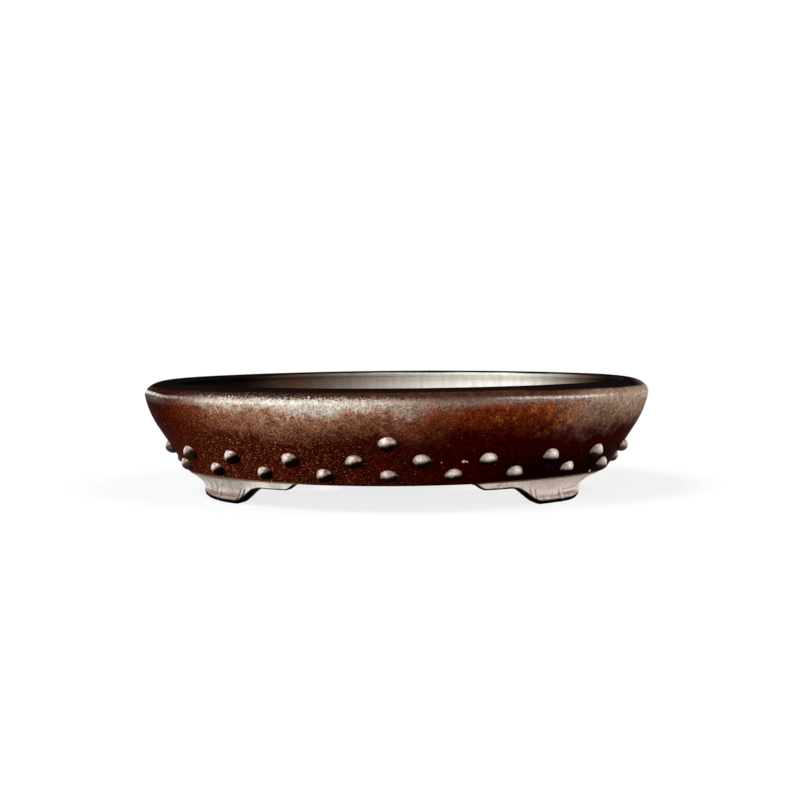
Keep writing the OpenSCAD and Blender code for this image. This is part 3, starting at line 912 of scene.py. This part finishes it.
def foot_piece(node, left, rear, clay, seed):
    """Bracket foot lofted along the wall's lower edge, with cut panels on its face."""
    shift, half, heel, lift = HAND_FEET.get(node, (0.0, LEG_HALF, LEG_HALF, 0.0))
    x = np.concatenate([
        np.arange(-LONG_WING, heel - HEEL_SEAM - 0.2 * FOOT_STEP, FOOT_STEP),
        [heel - HEEL_SEAM, heel + HEEL_SEAM],
        np.arange(heel + FOOT_STEP, END_WING, FOOT_STEP)])
    lower = foot_outline(x, half, heel, lift)
    lower_back = foot_outline(x, half, heel, lift, FOOT_TAPER)
    z = between(BASE_Z, lower[None], np.linspace(0, 1, FACE_ROWS)[:, None])
    edge = (z - lower[None]) / np.sqrt(1 + np.gradient(lower, x) ** 2)[None]
    wing = smoothstep(-x, half, half + OGEE_WIDTH)[None]
    heel_part = smoothstep(x, heel - HEEL_FADE, heel)[None]
    wander = noise_at(np.stack(np.broadcast_arrays(x[None], z, 0 * z), 2), WANDER_LENGTH, seed)
    marks = LEFT_MARKS if left else RIGHT_MARKS
    relief = foot_relief((x[None] + WANDER_SHIFT * wander) / MM, z / MM, heel / MM, marks)
    relief = softened(relief * MM, NEAR_ROWS)
    face_o = foot_face(z, edge, wing, relief, wander)

    # Underside and back, thinner towards the tip of the long wing
    inward = np.linspace(0, 1, BACK_ROWS + 1)[1:, None]
    back_o = BASE_O - between(FOOT_DEPTH, TIP_DEPTH, smoothstep(-x, half + OGEE_WIDTH, LONG_WING))
    back_z = between(lower_back, BASE_Z, inward)
    under_o = between(face_o[-1], back_o, inward)
    offsets = np.concatenate([face_o, under_o, np.broadcast_to(back_o, back_z.shape)])
    heights = np.concatenate([z, between(lower, lower_back, inward), back_z])
    centres, radii, outward = foot_stations(LEG_PLACE + shift, x)
    plan = centres[None] + (radii[None] + offsets)[..., None] * outward[None]
    points = np.concatenate([plan, heights[..., None]], 2)
    points[..., 0] *= -1 if left else 1
    points[..., 1] *= -1 if rear else 1
    rows, columns = heights.shape
    faces = grid_faces(rows, columns, True, False)
    faces.append(tuple(i * columns for i in range(rows))[::-1])
    faces.append(tuple(i * columns + columns - 1 for i in range(rows)))
    if left == rear:
        faces = [f[::-1] for f in faces]
    layers = foot_layers(left, z, edge, wing, wander, relief, heel_part, inward)
    return make_piece(node + "_bracket", points, faces, [clay], [node], layers, FOOT_SHARP)


# Floor

def welded(patches):
    """One list of points and faces from patches that share their border points."""
    index, points, faces = {}, [], []
    for patch_points, patch_faces in patches:
        names = []
        for p in np.reshape(patch_points, (-1, 3)):
            key = tuple(np.round(p / WELD).astype(int))
            if key not in index:
                index[key] = len(points)
                points.append(p)
            names.append(index[key])
        faces += [tuple(names[v] for v in f) for f in patch_faces]
    return np.array(points), faces


def cap(loops, inner_points):
    """Points and triangles of a face inside its first loop and outside the holes."""
    edges, first = [], 0
    for loop in loops:
        count = len(loop)
        edges += [(first + i, first + (i + 1) % count) for i in range(count)]
        first += count
    points = np.concatenate(list(loops) + [inner_points])
    inside_only = 1
    plan = [Vector(p[:2]) for p in points]
    made = geometry.delaunay_2d_cdt(plan, edges, [], inside_only, CAP_TOLERANCE)
    sources = [origins[0] for origins in made[3]]
    faces = [tuple(sources[v] for v in f) for f in made[2]]
    middles = np.array([points[list(f), :2].mean(0) for f in faces])
    solid = np.ones(len(faces), bool)
    for centre, radius, count in HOLES:
        edge = (radius + HOLE_ROUND) * math.cos(math.pi / count)
        solid &= np.hypot(*(middles - np.array(centre)).T) > edge
    return points, [f for f, kept in zip(faces, solid) if kept]


def hole_bore(centre, radius, count, top_z):
    """Grid of points down a hole with rounded edges."""
    quarter = np.radians(np.linspace(0, 90, HOLE_ROWS))
    falling, rising = HOLE_ROUND * (1 - np.sin(quarter)), HOLE_ROUND * (1 - np.cos(quarter))
    reach = radius + np.concatenate([falling, rising])
    z = np.concatenate([top_z - rising, BASE_Z + falling])
    a = np.arange(count) * 2 * math.pi / count
    ring = np.stack([np.cos(a), np.sin(a)], 1)
    plan = np.array(centre) + reach[:, None, None] * ring[None]
    return np.concatenate([plan, np.broadcast_to(z[:, None, None], plan.shape[:2] + (1,))], 2)


def floor_grid(border, outward):
    """Points spread over the floor in staggered rows, clear of its border and its holes."""
    row = FLOOR_SPREAD * math.sqrt(0.75)
    columns, rows = math.ceil(rim_high.x / FLOOR_SPREAD), math.ceil(rim_high.y / row)
    x, y = np.meshgrid(np.arange(-columns, columns + 1) * FLOOR_SPREAD, np.arange(-rows, rows + 1) * row)
    x = x + 0.5 * FLOOR_SPREAD * (np.round(y / row) % 2)
    flat = np.stack([x.ravel(), y.ravel()], 1)
    keep = np.array([np.max(np.sum((p - border) * outward, 1)) < -0.6 * FLOOR_SPREAD for p in flat])
    for centre, radius, _ in HOLES:
        keep &= np.hypot(*(flat - np.array(centre)).T) > radius + HOLE_ROUND + 0.5 * FLOOR_SPREAD
    return flat[keep]


def floor_piece(clay):
    """Floor slab with rounded holes, a fillet of slip against the wall and a slightly uneven top."""
    top_z = BASE_Z + FLOOR_THICKNESS
    stations = oval_stations(np.arange(FLOOR_STATIONS) * girth(0) / FLOOR_STATIONS)
    rise = np.linspace(0, 1, FILLET_ROWS)
    fillet_z = top_z + FILLET_RISE * rise ** 2
    fillet_o = inner_offset(fillet_z) - FILLET_REACH * (1 - rise)
    side_o = np.append(fillet_o, inner_offset(np.array([top_z, BASE_Z])))
    side = oval_points(stations, side_o, np.append(fillet_z, [top_z, BASE_Z]))
    patches = [(side, [f[::-1] for f in grid_faces(*side.shape[:2], False, True)])]
    tops, bottoms = [side[0]], [side[-1]]
    for centre, radius, count in HOLES:
        bore = hole_bore(centre, radius, count, top_z)
        patches.append((bore, grid_faces(*bore.shape[:2], False, True)))
        tops.append(bore[0])
        bottoms.append(bore[-1])
    flat = floor_grid(side[0, :, :2], stations[2])
    top = np.column_stack([flat, np.full(len(flat), top_z)])
    top[:, 2] += FLOOR_STRAY * noise_at(top, FLOOR_LENGTH, FLOOR_SEED)
    patches.append(cap(tops, top))
    under = np.column_stack([flat, np.full(len(flat), BASE_Z)])
    under_points, under_faces = cap(bottoms, under)
    patches.append((under_points, [f[::-1] for f in under_faces]))
    points, faces = welded(patches)
    layers = {"painted_shade": np.zeros(len(points))}
    return make_piece("floor_plate", points, faces, [clay], ["floor_slab"], layers)


def build_pot():
    body, inside, foot, rivet = body_clay(), inside_clay(), foot_clay(), rivet_clay()
    wall_piece(body, inside)
    rim_piece(body, inside)
    floor_piece(inside)
    for node, left, rear, seed in FEET:
        foot_piece(node, left, rear, foot, seed)
    rivet_piece("rivet_front", 0, FRONT_RIVET, rivet, FRONT_SEED)
    for i in range(RIVETS_PER_ROW):
        upper_share, lower_share = (i + 0.5) / RIVETS_PER_ROW, i / RIVETS_PER_ROW
        rivet_piece(f"rivet_upper_{i + 1}", upper_share, UPPER_ROW, rivet, UPPER_SEED + i)
        rivet_piece(f"rivet_lower_{i + 1}", lower_share, LOWER_ROW, rivet, LOWER_SEED + i, LOWER_SIZE)


# Studio

def seen_directly(tree):
    """1 for rays that show the background itself: from the camera, mirrored or through glass."""
    path = tree.nodes.new("ShaderNodeLightPath").outputs
    total = path["Is Camera Ray"]
    for label in ("Is Glossy Ray", "Is Transmission Ray"):
        add = tree.nodes.new("ShaderNodeMath")
        add.operation = "ADD"
        add.use_clamp = True
        tree.links.new(total, add.inputs[0])
        tree.links.new(path[label], add.inputs[1])
        total = add.outputs[0]
    return total


def scaled(tree, value, low, high):
    """A 0 to 1 value stretched to run from low to high."""
    node = tree.nodes.new("ShaderNodeMapRange")
    tree.links.new(value, node.inputs[0])
    node.inputs[3].default_value = low
    node.inputs[4].default_value = high
    return node.outputs[0]


def add_world():
    world = bpy.data.worlds.new("studio")
    world.use_nodes = True
    background = world.node_tree.nodes["Background"]
    background.inputs["Color"].default_value = (1, 1, 1, 1)
    background.inputs["Strength"].default_value = AMBIENT
    bpy.context.scene.world = world


def stage_material(name, glow):
    """Pale matt surface that shows white and keeps a soft shadow."""
    material = bpy.data.materials.new(name)
    material.use_nodes = True
    tree = material.node_tree
    shader = tree.nodes["Principled BSDF"]
    shader.inputs["Base Color"].default_value = (FLOOR_ALBEDO, FLOOR_ALBEDO, FLOOR_ALBEDO, 1)
    shader.inputs["Roughness"].default_value = 1
    shader.inputs["Specular IOR Level"].default_value = 0
    shader.inputs["Emission Color"].default_value = (1, 1, 1, 1)
    tree.links.new(scaled(tree, seen_directly(tree), 0, glow), shader.inputs["Emission Strength"])
    return material


def add_stage():
    """Round floor with a low wall far behind it, which lets the lamps through."""
    turn = np.linspace(0, 2 * math.pi, STAGE_SIDES, endpoint=False)
    ring = np.stack([STAGE_RADIUS * np.cos(turn), STAGE_RADIUS * np.sin(turn), 0 * turn], 1)
    wall = np.concatenate([ring, ring + [0, 0, STAGE_WALL]])
    shapes = (
        ("studio_floor", ring, [tuple(range(STAGE_SIDES))], FLOOR_GLOW),
        ("studio_backdrop", wall, grid_faces(2, STAGE_SIDES, False, True), 1.0))
    for name, points, faces, glow in shapes:
        mesh = bpy.data.meshes.new(name)
        mesh.from_pydata(points.tolist(), [], faces)
        mesh.materials.append(stage_material(name, glow))
        piece = bpy.data.objects.new(name, mesh)
        piece.visible_shadow = name == "studio_floor"
        bpy.context.scene.collection.objects.link(piece)


def add_lamp(name, azimuth, elevation, level):
    """Soft distant lamp; level 1 lights a white surface that faces it to white."""
    lamp = bpy.data.lights.new(name, "SUN")
    lamp.energy = level * math.pi
    lamp.angle = math.radians(LAMP_SPREAD)
    piece = bpy.data.objects.new(name, lamp)
    a, e = math.radians(azimuth), math.radians(elevation)
    towards = Vector((math.sin(a) * math.cos(e), -math.cos(a) * math.cos(e), math.sin(e)))
    piece.rotation_mode = "QUATERNION"
    piece.rotation_quaternion = towards.to_track_quat("Z", "Y")
    bpy.context.scene.collection.objects.link(piece)


def add_camera():
    ahead = Vector((
        math.sin(CAMERA_YAW) * math.cos(CAMERA_PITCH),
        math.cos(CAMERA_YAW) * math.cos(CAMERA_PITCH),
        math.sin(CAMERA_PITCH)))
    right = Vector((math.cos(CAMERA_YAW), -math.sin(CAMERA_YAW), 0))
    up = right.cross(ahead)
    roll_right = right * math.cos(CAMERA_ROLL) - up * math.sin(CAMERA_ROLL)
    roll_up = right * math.sin(CAMERA_ROLL) + up * math.cos(CAMERA_ROLL)
    turn = Matrix((roll_right, roll_up, -ahead)).transposed()
    data = bpy.data.cameras.new("camera")
    data.sensor_width = SENSOR_WIDTH
    data.lens = FOCAL_PIXELS * SENSOR_WIDTH / PICTURE_WIDTH
    camera = bpy.data.objects.new("camera", data)
    camera.matrix_world = Matrix.Translation(CAMERA_PLACE) @ turn.to_4x4()
    bpy.context.scene.collection.objects.link(camera)
    bpy.context.scene.camera = camera


build_pot()
add_world()
add_stage()
for side, azimuth, lamps in (("key", KEY_AZIMUTH, KEY_LAMPS), ("fill", FILL_AZIMUTH, FILL_LAMPS)):
    for number, (elevation, level) in enumerate(lamps):
        add_lamp(f"{side}_light_{number + 1}", azimuth, elevation, level)
add_camera()
bpy.context.scene.view_settings.view_transform = "Standard"
